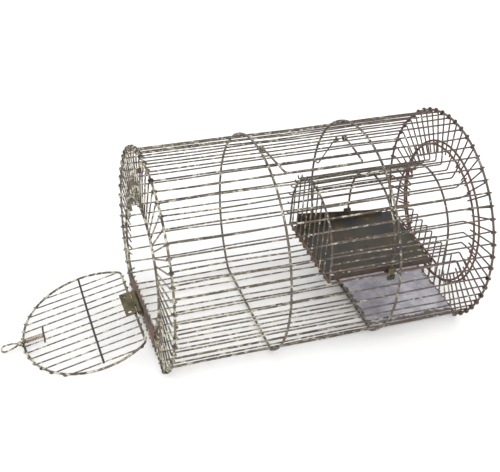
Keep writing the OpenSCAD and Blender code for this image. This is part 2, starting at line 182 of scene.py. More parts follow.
# How near a point is to the edge of a flat sheet, broken up by noise.
def makeEdgeBand():
    group = newGroup(
        "edgeBand",
        [
            ("Centre", "NodeSocketVector", (0, 0, 0)),
            ("Half", "NodeSocketVector", (1, 1, 1)),
            ("Width", "NodeSocketFloat", 0.01),
        ],
        [("Band", "NodeSocketFloat")],
    )
    start = put(group, "NodeGroupInput")
    end = put(group, "NodeGroupOutput")
    place = put(group, "ShaderNodeTexCoord").outputs["Object"]
    shift = put(group, "ShaderNodeVectorMath", operation="SUBTRACT")
    size = put(group, "ShaderNodeVectorMath", operation="ABSOLUTE")
    left = put(group, "ShaderNodeVectorMath", operation="SUBTRACT")
    parts = put(group, "ShaderNodeSeparateXYZ")
    group.links.new(place, shift.inputs[0])
    group.links.new(start.outputs["Centre"], shift.inputs[1])
    group.links.new(shift.outputs[0], size.inputs[0])
    group.links.new(start.outputs["Half"], left.inputs[0])
    group.links.new(size.outputs[0], left.inputs[1])
    group.links.new(left.outputs[0], parts.inputs[0])
    near = calc(group, "MINIMUM", parts.outputs["X"], parts.outputs["Y"])
    ragged = calc(group, "MULTIPLY", calc(group, "SUBTRACT", noise(group, place, 140.0, 4.0), 0.5), 0.018)
    near = calc(group, "ADD", near, ragged)
    group.links.new(spread(group, near, 0.0, start.outputs["Width"], 1.0, 0.0), end.inputs["Band"])
    return group


wearAndHighlight = makeWearAndHighlight()
edgeBand = makeEdgeBand()


def blendColour(tree, factor, first, second):
    node = put(tree, "ShaderNodeMix", data_type="RGBA")
    tree.links.new(factor, node.inputs["Factor"])
    for socket, value in ((node.inputs["A"], first), (node.inputs["B"], second)):
        if isinstance(value, tuple):
            socket.default_value = (*value, 1)
        else:
            tree.links.new(value, socket)
    return node.outputs["Result"]


# Old metal: base colour with grime and rust, and light spots that are partly rubbed wear and partly painted
# highlight.
def oldMetal(name, look):
    material = bpy.data.materials.new(name)
    material.use_nodes = True
    tree = material.node_tree
    shader = tree.nodes["Principled BSDF"]
    wornAndHighlit = put(tree, "ShaderNodeGroup", node_tree=wearAndHighlight)
    wornAndHighlit.inputs["Rust"].default_value = look["rustShare"]
    wornAndHighlit.inputs["Bright"].default_value = look["rubAndHighlightShare"]
    wornAndHighlit.inputs["Lean"].default_value = look.get("lean", 0.0)
    rust = wornAndHighlit.outputs["Rust"]
    clean = spread(tree, wornAndHighlit.outputs["Grime"], 0.35, 0.65)
    colour = blendColour(tree, clean, look["dark"], look["base"])
    pits = spread(tree, wornAndHighlit.outputs["Height"], 0.1, 0.6)
    rustColour = blendColour(tree, pits, look["rustDark"], look["rust"])
    if "band" in look:
        band = put(tree, "ShaderNodeGroup", node_tree=edgeBand)
        band.inputs["Centre"].default_value = look["band"]["centre"]
        band.inputs["Half"].default_value = look["band"]["half"]
        band.inputs["Width"].default_value = look["band"]["width"]
        rust = calc(tree, "MAXIMUM", rust, band.outputs["Band"])
    colour = blendColour(tree, rust, colour, rustColour)
    # Mix in the light-spot colour: partly rubbed wear, partly painted highlight.
    rubAndHighlightMask = calc(tree, "MULTIPLY", wornAndHighlit.outputs["Bright"], calc(tree, "SUBTRACT", 1.0, rust))
    colour = blendColour(tree, rubAndHighlightMask, colour, look["rubAndHighlight"])
    tree.links.new(colour, shader.inputs["Base Color"])
    metal = calc(tree, "MULTIPLY", calc(tree, "SUBTRACT", 1.0, rust), look["metal"])
    tree.links.new(metal, shader.inputs["Metallic"])
    low, high = look["rough"]
    tree.links.new(spread(tree, rust, 0.0, 1.0, low, high), shader.inputs["Roughness"])
    bump = put(tree, "ShaderNodeBump")
    bump.inputs["Strength"].default_value = look["bump"]
    bump.inputs["Distance"].default_value = look.get("depth", 0.15) * mm
    tree.links.new(wornAndHighlit.outputs["Height"], bump.inputs["Height"])
    tree.links.new(bump.outputs["Normal"], shader.inputs["Normal"])
    return material


# Wire finishes: the light-spot colour and share are partly rubbed wear and partly painted highlight, raised so
# that the wires look lit.
darkWireLook = {
    "base": (0.15, 0.13, 0.098), "dark": (0.052, 0.043, 0.04), "rubAndHighlight": (0.54, 0.5, 0.38),
    "rust": (0.105, 0.068, 0.056), "rustDark": (0.045, 0.031, 0.03),
    "rustShare": 0.48, "rubAndHighlightShare": 0.68, "lean": 0.3, "metal": 0.45, "rough": (0.38, 0.8), "bump": 0.5,
}
darkWire = oldMetal("darkWire", darkWireLook)
# Floor wires: olive, with a larger share of painted highlight and rubbed spots.
oliveWire = oldMetal("oliveWire", {
    **darkWireLook, "base": (0.2, 0.19, 0.1), "rubAndHighlightShare": 0.8, "lean": 0.1,
})
rustyWire = oldMetal("rustyWire", {
    **darkWireLook, "base": (0.09, 0.062, 0.052),
    "rust": (0.15, 0.078, 0.056), "rustDark": (0.06, 0.034, 0.03),
    "rustShare": 0.75, "rubAndHighlightShare": 0.5, "lean": 0.0,
})
brightWire = oldMetal("brightWire", {
    **darkWireLook, "base": (0.4, 0.33, 0.28), "dark": (0.16, 0.11, 0.09), "rubAndHighlight": (0.7, 0.65, 0.58),
    "rust": (0.13, 0.075, 0.06), "rustShare": 0.6, "lean": 0.0,
})
blackWire = oldMetal("blackWire", {
    **darkWireLook, "base": (0.05, 0.045, 0.04), "dark": (0.025, 0.022, 0.02), "rustShare": 0.35,
    "rubAndHighlightShare": 0.2, "lean": 0.0,
})
stripSteel = oldMetal("stripSteel", {
    "base": (0.14, 0.1, 0.093), "dark": (0.07, 0.048, 0.045), "rubAndHighlight": (0.32, 0.27, 0.25),
    "rust": (0.15, 0.083, 0.064), "rustDark": (0.06, 0.036, 0.032),
    "rustShare": 0.6, "rubAndHighlightShare": 0.3, "metal": 0.35, "rough": (0.55, 0.9), "bump": 0.8, "depth": 0.3,
})
hingePlate = oldMetal("hingePlate", {
    "base": (0.19, 0.165, 0.07), "dark": (0.06, 0.053, 0.028), "rubAndHighlight": (0.5, 0.42, 0.2),
    "rust": (0.11, 0.07, 0.038), "rustDark": (0.04, 0.03, 0.02),
    "rustShare": 0.5, "rubAndHighlightShare": 0.4, "metal": 0.7, "rough": (0.38, 0.8), "bump": 0.4,
})
springWire = oldMetal("springWire", {
    **darkWireLook, "base": (0.46, 0.36, 0.26), "dark": (0.22, 0.14, 0.1), "rubAndHighlight": (0.75, 0.68, 0.56),
    "rust": (0.3, 0.14, 0.1), "rustShare": 0.45, "rubAndHighlightShare": 0.7, "lean": 0.0,
})
plateLow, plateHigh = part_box("platform_plate")
traySheet = oldMetal("traySheet", {
    "base": (0.058, 0.05, 0.028), "dark": (0.034, 0.034, 0.037), "rubAndHighlight": (0.15, 0.145, 0.13),
    "rust": (0.19, 0.108, 0.07), "rustDark": (0.08, 0.047, 0.034),
    "rustShare": 0.28, "rubAndHighlightShare": 0.12, "metal": 0.4, "rough": (0.5, 0.9), "bump": 0.7, "depth": 0.25,
    "band": {
        "centre": (plateLow + plateHigh) / 2,
        "half": (plateHigh - plateLow) / 2 + Vector((0, 1.5 * mm, 0)),
        "width": 3.2 * mm,
    },
})
sheetLow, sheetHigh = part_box("floor_sheet")
zincSheet = oldMetal("zincSheet", {
    "base": (0.6, 0.585, 0.64), "dark": (0.36, 0.345, 0.4), "rubAndHighlight": (0.74, 0.73, 0.77),
    "rust": (0.22, 0.19, 0.18), "rustDark": (0.12, 0.1, 0.095),
    "rustShare": 0.14, "rubAndHighlightShare": 0.5, "metal": 0.3, "rough": (0.33, 0.85), "bump": 0.4, "depth": 0.2,
    "band": {
        "centre": (sheetLow + sheetHigh) / 2,
        "half": (sheetHigh - sheetLow) / 2,
        "width": 2.0 * mm,
    },
})
castIron = oldMetal("castIron", {
    **darkWireLook, "base": (0.06, 0.057, 0.055), "rustShare": 0.6, "rubAndHighlightShare": 0.1, "lean": 0.0,
    "bump": 1.0, "depth": 0.4,
})
print("materials made")


# Wires

def settle(piece, body, replaced=()):
    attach(piece, body)
    if replaced:
        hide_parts(*replaced)
    return piece


# Points with their corners rounded.
def rounded(points, radius, steps=5):
    path = [Vector(points[0])]
    for before, corner, after in zip(points, points[1:], points[2:]):
        a, c, b = Vector(before), Vector(corner), Vector(after)
        reach = min(radius, (a - c).length * 0.48, (b - c).length * 0.48)
        start = c + (a - c).normalized() * reach
        end = c + (b - c).normalized() * reach
        for k in range(steps + 1):
            t = k / steps
            path.append(start.lerp(c, t).lerp(c.lerp(end, t), t))
    path.append(Vector(points[-1]))
    return path


def wirePiece(name, paths, thickness, material, body, replaced=(), closed=False, sides=2):
    curve = bpy.data.curves.new(name + "Line", "CURVE")
    curve.dimensions = "3D"
    curve.bevel_depth = thickness / 2
    curve.bevel_resolution = sides
    curve.use_fill_caps = True
    for path in paths:
        spline = curve.splines.new("POLY")
        spline.points.add(len(path) - 1)
        for point, place in zip(spline.points, path):
            point.co = (*place, 1)
        spline.use_cyclic_u = closed
        spline.use_smooth = True
    bent = bpy.data.objects.new(name + "Line", curve)
    bpy.context.scene.collection.objects.link(bent)
    bpy.context.view_layer.update()
    mesh = bpy.data.meshes.new_from_object(bent.evaluated_get(bpy.context.evaluated_depsgraph_get()))
    bpy.data.objects.remove(bent)
    mesh.name = name
    mesh.materials.clear()
    mesh.materials.append(material)
    piece = bpy.data.objects.new(name, mesh)
    bpy.context.scene.collection.objects.link(piece)
    return settle(piece, body, replaced)


# A full turn of bar wire round an end hoop, and then the bend in towards the tip.
def endTurn(side, spot, outward, along, tip, steps=12):
    centre = Vector((entranceX if side > 0 else doorX, spot.y, spot.z))
    lead = cage["barD"] * 1.02
    path = []
    for k in range(steps + 1):
        turn = math.tau * k / steps
        ring = axisX * (side * math.sin(turn)) - outward * math.cos(turn)
        path.append(centre + ring * wrapR + along * (lead * k / steps))
    corner = path[-1] + axisX * (side * wrapR)
    last = Vector((corner.x, tip.y, tip.z))
    return path + rounded([path[-1], corner, last], 2.4 * mm)[1:]


# The bar between the end hoops sways a little in each bay.
def bayPoints(spot, outward, along):
    path = []
    for start, end in zip(hoopXs, hoopXs[1:]):
        out = hand.uniform(-0.8, 0.5) * mm
        sideways = hand.uniform(-1.1, 1.1) * mm
        for k in range(1, 8):
            t = k / 8
            swell = math.sin(math.pi * t)
            place = spot + outward * (out * swell) + along * (sideways * swell)
            path.append(Vector((start + (end - start) * t, place.y, place.z)))
        if end != doorX:
            path.append(Vector((end, spot.y, spot.z)))
    return path


opening = {"wireD": 2.4 * mm, "pastRing": 8 * mm}
openLow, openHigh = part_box("opening_ring")
openR = (openHigh.y - openLow.y - opening["wireD"]) / 2
openZ = openHigh.z - opening["wireD"] / 2 - openR
openX = middle("opening_ring").x
stripLow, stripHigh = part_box("sill_strip")
entrance = {"wireD": 2.2 * mm, "pastRing": 11 * mm}
ringLow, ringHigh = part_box("entrance_ring_outer")
entranceR = (ringHigh.y - ringLow.y - entrance["wireD"]) / 2


# The tip of a door end spoke: just inside the ring, or behind the strip.
def doorTip(inward, spot):
    offset = Vector((0, spot.y, spot.z - axisZ))
    if offset.z < 0:
        share = (stripHigh.z - 2.5 * mm - axisZ) / offset.z
        if abs(offset.y * share) < stripHigh.y - 1 * mm:
            return Vector((0, offset.y * share, axisZ + offset.z * share))
    drop = axisZ - openZ
    reach = inward.z * drop + math.sqrt(openR ** 2 - (drop * inward.y) ** 2)
    reach -= opening["pastRing"] + hand.uniform(-2.5, 2.5) * mm
    return Vector((0, -inward.y * reach, axisZ - inward.z * reach))


def cageWire(spot, outward, along, inset=0.0):
    inward = Vector((0, -spot.y, axisZ - spot.z)).normalized()
    bar = spot - outward * (wrapR + inset)
    reach = entranceR - entrance["pastRing"] + hand.uniform(-3.5, 3.0) * mm
    farTip = Vector((0, -inward.y * reach, axisZ - inward.z * reach))
    path = list(reversed(endTurn(1, spot, outward, along, farTip)))
    path += bayPoints(bar, outward, along)
    return path + endTurn(-1, spot, outward, along, doorTip(inward, spot))


def arcWire(i):
    angle = -flatAngle + i * (math.pi + 2 * flatAngle) / cage["arcGaps"]
    outward = Vector((0, math.cos(angle), math.sin(angle)))
    along = Vector((0, -math.sin(angle), math.cos(angle)))
    spot = Vector((0, 0, axisZ)) + outward * hoopR
    return cageWire(spot, outward, along, 0.6 * mm if i in (0, cage["arcGaps"]) else 0.0)


def floorWire(j):
    spot = Vector((0, -flatHalf + j * 2 * flatHalf / cage["floorGaps"], floorZ))
    return cageWire(spot, Vector((0, 0, -1)), Vector((0, 1, 0)))


# A hoop is one bent wire, with soft corners at its flat bottom.
def hoopWire(node, number):
    x = middle(node).x
    path = []
    for k in range(81):
        angle = -flatAngle + (math.pi + 2 * flatAngle) * k / 80
        bow = 0.25 * mm * math.sin(3 * angle + number)
        path.append(Vector((x + bow, hoopR * math.cos(angle), axisZ + hoopR * math.sin(angle))))
    corners = rounded([path[-2], path[-1], path[0], path[1]], 3 * mm, 6)
    wirePiece(f"hoopWire{number}", [path[1:-1] + corners[1:-1]], cage["hoopD"], darkWire, "cage",
              [node], closed=True, sides=3)


for number, node in enumerate(["door_end_hoop", "middle_hoop_1", "middle_hoop_2", "entrance_end_hoop"], 1):
    hoopWire(node, number)

arcWires = [arcWire(i) for i in range(cage["arcGaps"] + 1)]
floorWires = [floorWire(j) for j in range(1, cage["floorGaps"])]
firstTop, lastTop = cage["topBars"][0], cage["topBars"][-1]
bentEnds = ["door_end_spokes", "entrance_end_spokes", "door_end_wraps", "entrance_end_wraps"]
wirePiece("cageWiresFar", arcWires[:firstTop], cage["barD"], darkWire, "cage",
          ["cage_bars_far", *bentEnds])
wirePiece("cageWiresTop", arcWires[firstTop:lastTop + 1], cage["barD"], darkWire, "cage",
          ["cage_bars_top", *bentEnds])
wirePiece("cageWiresNear", arcWires[lastTop + 1:], cage["barD"], darkWire, "cage",
          ["cage_bars_near", *bentEnds])
wirePiece("cageWiresFloor", floorWires, cage["barD"], oliveWire, "cage",
          ["cage_bars_floor", *bentEnds])
print("cage wires bent")


# Door opening

def openingRing():
    low = (stripLow.z + stripHigh.z) / 2
    start = math.asin((low - openZ) / openR)
    steps = 72
    path = []
    for k in range(steps + 1):
        angle = start + (math.pi - 2 * start) * k / steps
        path.append(Vector((openX, openR * math.cos(angle), openZ + openR * math.sin(angle))))
    wirePiece("openingRing", [rounded(path, 1 * mm, 1)], opening["wireD"], darkWire, "cage",
              ["opening_ring"], closed=True)


# A sheet made from a flat grid: place says where each point of the grid goes.
def sheetPiece(name, flat, cuts, place, thickness, material, body, replaced, keep=None):
    width, length = flat
    columns, rows = cuts
    mesh = bpy.data.meshes.new(name)
    grid = bmesh.new()
    bmesh.ops.create_grid(grid, x_segments=columns, y_segments=rows, size=0.5)
    if keep:
        spare = [f for f in grid.faces if not keep(f.calc_center_median())]
        bmesh.ops.delete(grid, geom=spare, context="FACES")
    for v in grid.verts:
        v.co = place(v.co.x * width, v.co.y * length)
    bmesh.ops.recalc_face_normals(grid, faces=grid.faces)
    bmesh.ops.solidify(grid, geom=grid.faces[:], thickness=thickness)
    bmesh.ops.recalc_face_normals(grid, faces=grid.faces)
    grid.to_mesh(mesh)
    grid.free()
    for polygon in mesh.polygons:
        polygon.use_smooth = True
    mesh.materials.append(material)
    piece = bpy.data.objects.new(name, mesh)
    bpy.context.scene.collection.objects.link(piece)
    edge = piece.modifiers.new("edge", "BEVEL")
    edge.width = 0.12 * mm
    edge.segments = 2
    edge.limit_method = "ANGLE"
    edge.angle_limit = math.radians(50)
    return settle(piece, body, replaced)


strip = {"sheet": 0.9 * mm, "leg": 7.6 * mm}


# The strip is folded over the bottom of the ring, with a ragged lower edge.
def stripPlace(s, y):
    half = (stripHigh.x - stripLow.x) / 2 - strip["sheet"] / 2
    height = stripHigh.z - stripLow.z
    arc = math.pi * half / 2
    flat = height - half
    x = (stripLow.x + stripHigh.x) / 2
    ripple = math.sin(y * 900 + 1.3) * 0.16 * mm + math.sin(y * 2300) * 0.07 * mm
    side = 1 if s > 0 else -1
    run = abs(s)
    if run < arc:
        turn = run / half
        return Vector((x + side * half * math.sin(turn), y, stripHigh.z - half + half * math.cos(turn)))
    down = min(run - arc, flat + ripple)
    return Vector((x + side * (half + ripple * 0.5), y, stripHigh.z - half - down))


openingRing()
stripGirth = 2 * (math.pi * 1.55 * mm + strip["leg"])
sheetPiece("sillStrip", (stripGirth, stripHigh.y - stripLow.y), (24, 60), stripPlace,
           strip["sheet"], stripSteel, "cage", ["sill_strip"])


# Catch: a hook of wire, bound to the spokes above the opening
catch = {
    "wireD": 1.8 * mm, "bindD": 0.8 * mm, "turns": 5, "bindPitch": 0.95 * mm, "bindDown": 9 * mm,
    "bindWide": 2.5 * mm, "bindDeep": 1.6 * mm,
}
catchLow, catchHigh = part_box("door_catch")


def doorCatch():
    shankX = catchHigh.x - catch["wireD"] / 2
    hookR = (shankX - catchLow.x - catch["wireD"] / 2) / 2
    hookZ = catchLow.z + catch["wireD"] / 2 + hookR
    path = rounded([
        Vector((shankX + 3.2 * mm, 0.0, catchHigh.z + 0.5 * mm)),
        Vector((shankX, 0.0, catchHigh.z + 0.5 * mm)),
        Vector((shankX, 0.0, hookZ)),
    ], 2 * mm)
    for k in range(1, 15):
        turn = math.pi * 1.08 * k / 14
        path.append(Vector((
            shankX - hookR + hookR * math.cos(turn), 0.25 * mm * k / 14, hookZ - hookR * math.sin(turn))))
    wirePiece("catchHook", [path], catch["wireD"], brightWire, "cage",
              ["door_catch"], sides=3)
    binding = []
    for k in range(catch["turns"] * 12 + 1):
        turn = math.tau * k / 12
        binding.append(Vector((
            shankX + catch["wireD"] / 2 + catch["bindWide"] * math.cos(turn),
            catch["bindDeep"] * math.sin(turn),
            catchHigh.z - catch["bindDown"] + k / 12 * catch["bindPitch"])))
    wirePiece("catchBinding", [binding], catch["bindD"], rustyWire, "cage",
              [], sides=1)


doorCatch()
print("door opening made")


# Door: u runs from the pin to the free edge, w is up through the door
doorHinge = next(j for j in frame["joints"] if j["name"] == "door_hinge")
slide = next(j for j in frame["joints"] if j["name"] == "latch_slide")
doorU = Vector(slide["axis"]).normalized()
doorW = Vector((doorU.z, 0, -doorU.x))
pin = Vector(doorHinge["pos_m"])
door = {
    "ringR": 70.5 * mm, "ringD": 2.4 * mm, "middleU": 47.2 * mm, "baseU": 4.7 * mm, "barD": 1.4 * mm,
    "barGap": 10 * mm, "bars": 6, "crossbarD": 2.2 * mm, "crossU": 48.5 * mm,
    "latchY": 1.5 * mm, "latchW": 2.7 * mm,
}


def onDoor(u, y, w):
    return pin + doorU * u + Vector((0, y, 0)) + doorW * w


def doorRing():
    cut = math.acos((door["baseU"] - door["middleU"]) / door["ringR"])
    path = []
    for k in range(97):
        angle = -cut + 2 * cut * k / 96
        path.append(onDoor(
            door["middleU"] + door["ringR"] * math.cos(angle), door["ringR"] * math.sin(angle),
            0.25 * mm * math.sin(3 * angle)))
    corners = rounded([path[-3], path[-1], path[0], path[2]], 5 * mm, 6)
    wirePiece("doorRing", [path[2:-2] + corners[1:-1]], door["ringD"], darkWire, "door",
              ["door_ring"], closed=True)


# Each bar hooks up over the ring at its free end, and over the base wire at the other.
def doorBar(k):
    y = k * door["barGap"]
    half = math.sqrt(door["ringR"] ** 2 - y * y)
    gap = (door["ringD"] + door["barD"]) / 2
    freeU = door["middleU"] + half
    baseU = max(door["baseU"], door["middleU"] - half)
    slope = door["ringR"] / half
    path = []
    for step in range(9):
        turn = math.radians(100) * (1 - step / 8)
        path.append(onDoor(baseU - gap * math.sin(turn), y, -gap * math.cos(turn)))
    sway = hand.uniform(-0.5, 0.5) * mm
    for step in range(1, 10):
        t = step / 10
        path.append(onDoor(baseU + (freeU - baseU) * t, y + sway * math.sin(math.pi * t), -gap))
    for step in range(9):
        turn = math.radians(115) * step / 8
        path.append(onDoor(freeU + gap * slope * math.sin(turn), y, -gap * math.cos(turn)))
    return path


def doorGrille():
    bars = [doorBar(k) for k in range(-door["bars"], door["bars"] + 1)]
    wirePiece("doorBars", bars, door["barD"], darkWire, "door", ["door_bars"])
    low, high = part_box("door_crossbar")
    path = []
    for k in range(13):
        t = k / 12
        path.append(onDoor(
            door["crossU"] + 0.5 * mm * math.sin(math.pi * t),
            low.y + (high.y - low.y) * t,
            -0.1 * mm + 0.3 * mm * math.sin(2 * math.pi * t) * 0.5))
    wirePiece("doorCrossbar", [path], door["crossbarD"], blackWire, "door",
              ["door_crossbar"], sides=3)


doorRing()
doorGrille()
print("door made")


# Latch: stem, pull loop wound round the stem, cross wire and spring
latch = {
    "stemD": 1.6 * mm, "loopD": 1.8 * mm, "teeU": 97.2 * mm, "guideU": 114.4 * mm, "loopU": 135.2 * mm,
    "loopHalf": 4.6 * mm, "neckU": 122.2 * mm, "windR": 1.65 * mm, "windPitch": 0.9 * mm,
    "springD": 0.7 * mm, "springR": 2.15 * mm, "springTurns": 9,
}


def onLatch(u, y, w):
    return onDoor(u, door["latchY"] + y, door["latchW"] + w)


def pullLoop():
    stem = [onLatch(latch["teeU"] - 1.6 * mm, 0, 0), onLatch(latch["neckU"], 0, 0)]
    reach, half, neck = latch["loopU"], latch["loopHalf"], latch["neckU"]
    bow = [onLatch(neck + 0.4 * mm, 0.7 * mm, 0), onLatch(neck + 4.6 * mm, 3.4 * mm, 0.2 * mm)]
    for k in range(13):
        turn = math.pi * (0.5 - k / 12)
        bow.append(onLatch(reach + half * math.cos(turn), half * math.sin(turn), 0.3 * mm))
    bow += [onLatch(neck + 4.6 * mm, -3.4 * mm, 0.2 * mm), onLatch(neck + 0.4 * mm, -0.7 * mm, 0)]
    bow = rounded(bow, 2.5 * mm, 4)
    # the end winds back down the stem
    windR, windPitch = latch["windR"], latch["windPitch"]
    for k in range(1, 31):
        turn = math.tau * (k / 12 - 0.25)
        bow.append(onLatch(neck - k / 12 * windPitch, windR * math.sin(turn), windR * math.cos(turn)))
    wirePiece("latchStem", [stem], latch["stemD"], darkWire, "latch",
              ["latch_loop"], sides=3)
    wirePiece("latchPullLoop", [bow], latch["loopD"], oliveWire, "latch",
              ["latch_loop"], sides=3)


def latchTee():
    path = rounded([
        onLatch(latch["teeU"] - 0.4 * mm, -11 * mm, 0.5 * mm),
        onLatch(latch["teeU"] - 0.9 * mm, -7 * mm, 0),
        onLatch(latch["teeU"] - 0.9 * mm, 7 * mm, 0),
        onLatch(latch["teeU"] - 1.6 * mm, 11 * mm, 0.7 * mm),
    ], 3 * mm)
    wirePiece("latchCrossWire", [path], latch["loopD"], blackWire, "latch",
              ["latch_tee"], sides=3)


def latchSpring():
    path = []
    perTurn = 14
    closed = 1.2  # turns lying together at each end
    total = latch["springTurns"] + 2 * closed
    wireD = latch["springD"]
    length = latch["guideU"] - latch["teeU"] - wireD
    openRun = length - 2 * closed * wireD
    for k in range(int(total * perTurn) + 1):
        turns = k / perTurn
        if turns < closed:
            run = turns * wireD
        elif turns > total - closed:
            run = length - (total - turns) * wireD
        else:
            run = closed * wireD + (turns - closed) / latch["springTurns"] * openRun
        turn = math.tau * turns
        path.append(onLatch(latch["teeU"] + wireD / 2 + run, latch["springR"] * math.sin(turn),
                            latch["springR"] * math.cos(turn)))
    piece = wirePiece("latchSpringCoil", [path], wireD, springWire, "door",
                      ["latch_spring"], sides=1)
    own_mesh(piece)


pullLoop()
latchTee()
latchSpring()
print("latch made")


# Tunnel
tunnel = {"archD": 2.2 * mm, "barD": 1.6 * mm, "roofStep": 12, "floorGap": 11 * mm, "floorBars": 4}
baseZ = middle("tunnel_end_chord").z
innerX = middle("tunnel_arch_inner").x
archLow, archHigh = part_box("tunnel_arch_inner")
archR = (archHigh.y - archLow.y) / 2 - 1.12 * tunnel["archD"] / 2
roofR = archR + (tunnel["archD"] + tunnel["barD"]) / 2
mouthX = middle("tunnel_mouth_spikes").x
sillX = middle("entrance_sill").x


# A wall wire: a stub at the inner arch, the run, and the spike that turns out at the mouth.
def wallWire(y, z):
    spot = Vector((0, y, z - axisZ))
    out = spot.normalized()
    spikeR = entranceR + hand.choice((-2, 1, 3, 5, 8)) * mm + hand.uniform(-1.5, 1.5) * mm
    lean = hand.uniform(-3, 3) * mm
    stub = hand.uniform(2.5, 5) * mm
    sway = hand.uniform(-0.6, 0.6) * mm
    start = Vector((innerX - 2.2 * mm, y, z))
    tip = Vector((0, 0, axisZ)) + out * spikeR
    run = [start + out * stub + Vector((hand.uniform(-1, 1) * mm, 0, 0)), start]
    run += [Vector((innerX + (mouthX - innerX) * t, y, z)) + out * abs(sway) for t in (0.33, 0.66)]
    run.append(Vector((mouthX, y, z)))
    aside = Vector((0, -out.z, out.y)) * lean
    run.append(Vector((mouthX + hand.uniform(-0.3, 0.5) * mm, tip.y, tip.z)) + aside)
    return rounded(run, 2.2 * mm, 6)


def tunnelWires():
    wires = []
    for degrees in range(0, 181, tunnel["roofStep"]):
        angle = math.radians(degrees)
        wires.append(wallWire(roofR * math.cos(angle), axisZ + roofR * math.sin(angle)))
    for side in (-1, 1):
        wires.append(wallWire(side * roofR, (axisZ + baseZ) / 2))
    wirePiece("tunnelWallWires", wires, tunnel["barD"], darkWire, "cage",
              ["tunnel_roof_bars", "tunnel_mouth_spikes"])
    floor = []
    for k in range(-tunnel["floorBars"], tunnel["floorBars"] + 1):
        y = k * tunnel["floorGap"]
        low = axisZ - math.sqrt((entranceR + 3 * mm) ** 2 - y * y)
        gap = (tunnel["archD"] + tunnel["barD"]) / 2
        path = [Vector((sillX - gap * math.sin(a), y, baseZ + gap * math.cos(a)))
                for a in (math.radians(200 - 20 * n) for n in range(11))]
        path += rounded([
            Vector((sillX + 2 * mm, y, baseZ + gap)),
            Vector((mouthX, y + hand.uniform(-0.6, 0.6) * mm, baseZ + gap * 0.6)),
            Vector((mouthX, y + hand.uniform(-1.5, 1.5) * mm, low + hand.uniform(-1, 5) * mm)),
        ], 2.4 * mm, 6)
        floor.append(path)
    wirePiece("tunnelFloorWires", floor, tunnel["barD"], darkWire, "cage",
              ["tunnel_floor_bars", "tunnel_mouth_spikes"])


def railWires():
    rails = []
    for side in (-1, 1):
        foot = Vector((0, side * archR, baseZ))
        out = (foot - Vector((0, 0, axisZ))).normalized()
        tip = Vector((mouthX, 0, axisZ)) + out * (entranceR + 8 * mm)
        rails.append(rounded([
            Vector((innerX + 1 * mm, foot.y, foot.z)),
            Vector((mouthX, foot.y, foot.z)),
            tip,
        ], 3 * mm, 6))
    wirePiece("tunnelRails", rails, tunnel["archD"], rustyWire, "cage",
              ["tunnel_rails", "tunnel_mouth_spikes"], sides=3)


# The end wall's wires hook under the base wire and stand just past the arch.
def endWires():
    wires = []
    endX = middle("tunnel_end_bars").x
    gap = (tunnel["archD"] + tunnel["barD"]) / 2
    for k in range(-tunnel["floorBars"], tunnel["floorBars"] + 1):
        y = k * tunnel["floorGap"]
        top = axisZ + math.sqrt(archR ** 2 - y * y) + hand.uniform(2, 4) * mm
        path = [Vector((innerX - gap * math.cos(a), y, baseZ - gap * math.sin(a)))
                for a in (math.radians(190 - 19 * n) for n in range(11))]
        path += [
            Vector((endX, y, baseZ + 6 * mm)),
            Vector((
                endX + hand.uniform(-0.2, 0.2) * mm,
                y + hand.uniform(-0.5, 0.5) * mm,
                (baseZ + top) / 2)),
            Vector((endX, y, top)),
        ]
        wires.append(path)
    wirePiece("tunnelEndWires", wires, tunnel["barD"], darkWire, "cage",
              ["tunnel_end_bars"])


# An arch with straight legs, its feet on the rails.
def archWire(node, number):
    x = middle(node).x
    foot = baseZ + tunnel["archD"] / 2
    path = [Vector((x, archR, foot))]
    for k in range(41):
        angle = math.pi * k / 40
        path.append(Vector((x + 0.2 * mm * math.sin(2 * angle), archR * math.cos(angle),
                            axisZ + archR * math.sin(angle))))
    path.append(Vector((x, -archR, foot)))
    wirePiece(f"archWire{number}", [path], tunnel["archD"], darkWire, "cage",
              [node], sides=3)


def ringWire(name, node):
    low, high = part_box(node)
    radius = (high.y - low.y - entrance["wireD"]) / 2
    path = []
    for k in range(80):
        angle = math.tau * k / 80
        wave = 0.3 * mm * math.sin(2 * angle + radius * 700)
        path.append(Vector(((low.x + high.x) / 2, (radius + wave) * math.cos(angle),
                            axisZ + (radius + wave) * math.sin(angle))))
    wirePiece(name, [path], entrance["wireD"], rustyWire, "cage",
              [node], closed=True, sides=3)


for number, node in enumerate(["tunnel_arch_inner", "tunnel_arch_middle", "tunnel_arch_outer"], 1):
    archWire(node, number)
ringWire("entranceRingOuter", "entrance_ring_outer")
ringWire("entranceRingInner", "entrance_ring_inner")
tunnelWires()
railWires()
endWires()
print("tunnel made")


# Platform: a sheet tray with its sides folded up, higher at the inner end
tray = {
    "sheet": 0.8 * mm, "bend": 1.0 * mm, "sideFrom": 3 * mm, "sideTo": 11 * mm, "sideLow": 3 * mm,
    "lugWide": 9 * mm,
}
trayHalf = (plateHigh.y - plateLow.y - tray["sheet"]) / 2
trayLength = plateHigh.x - plateLow.x
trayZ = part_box("counterweight")[1].z + tray["sheet"] / 2
sideHigh = plateHigh.z - trayZ


def sideHeight(x):
    share = (x + trayLength / 2 - tray["sideFrom"]) / (trayLength - tray["sideFrom"] - tray["sideTo"])
    share = min(1, max(0, share))
    return sideHigh + (tray["sideLow"] + tray["sheet"] / 2 - sideHigh) * share


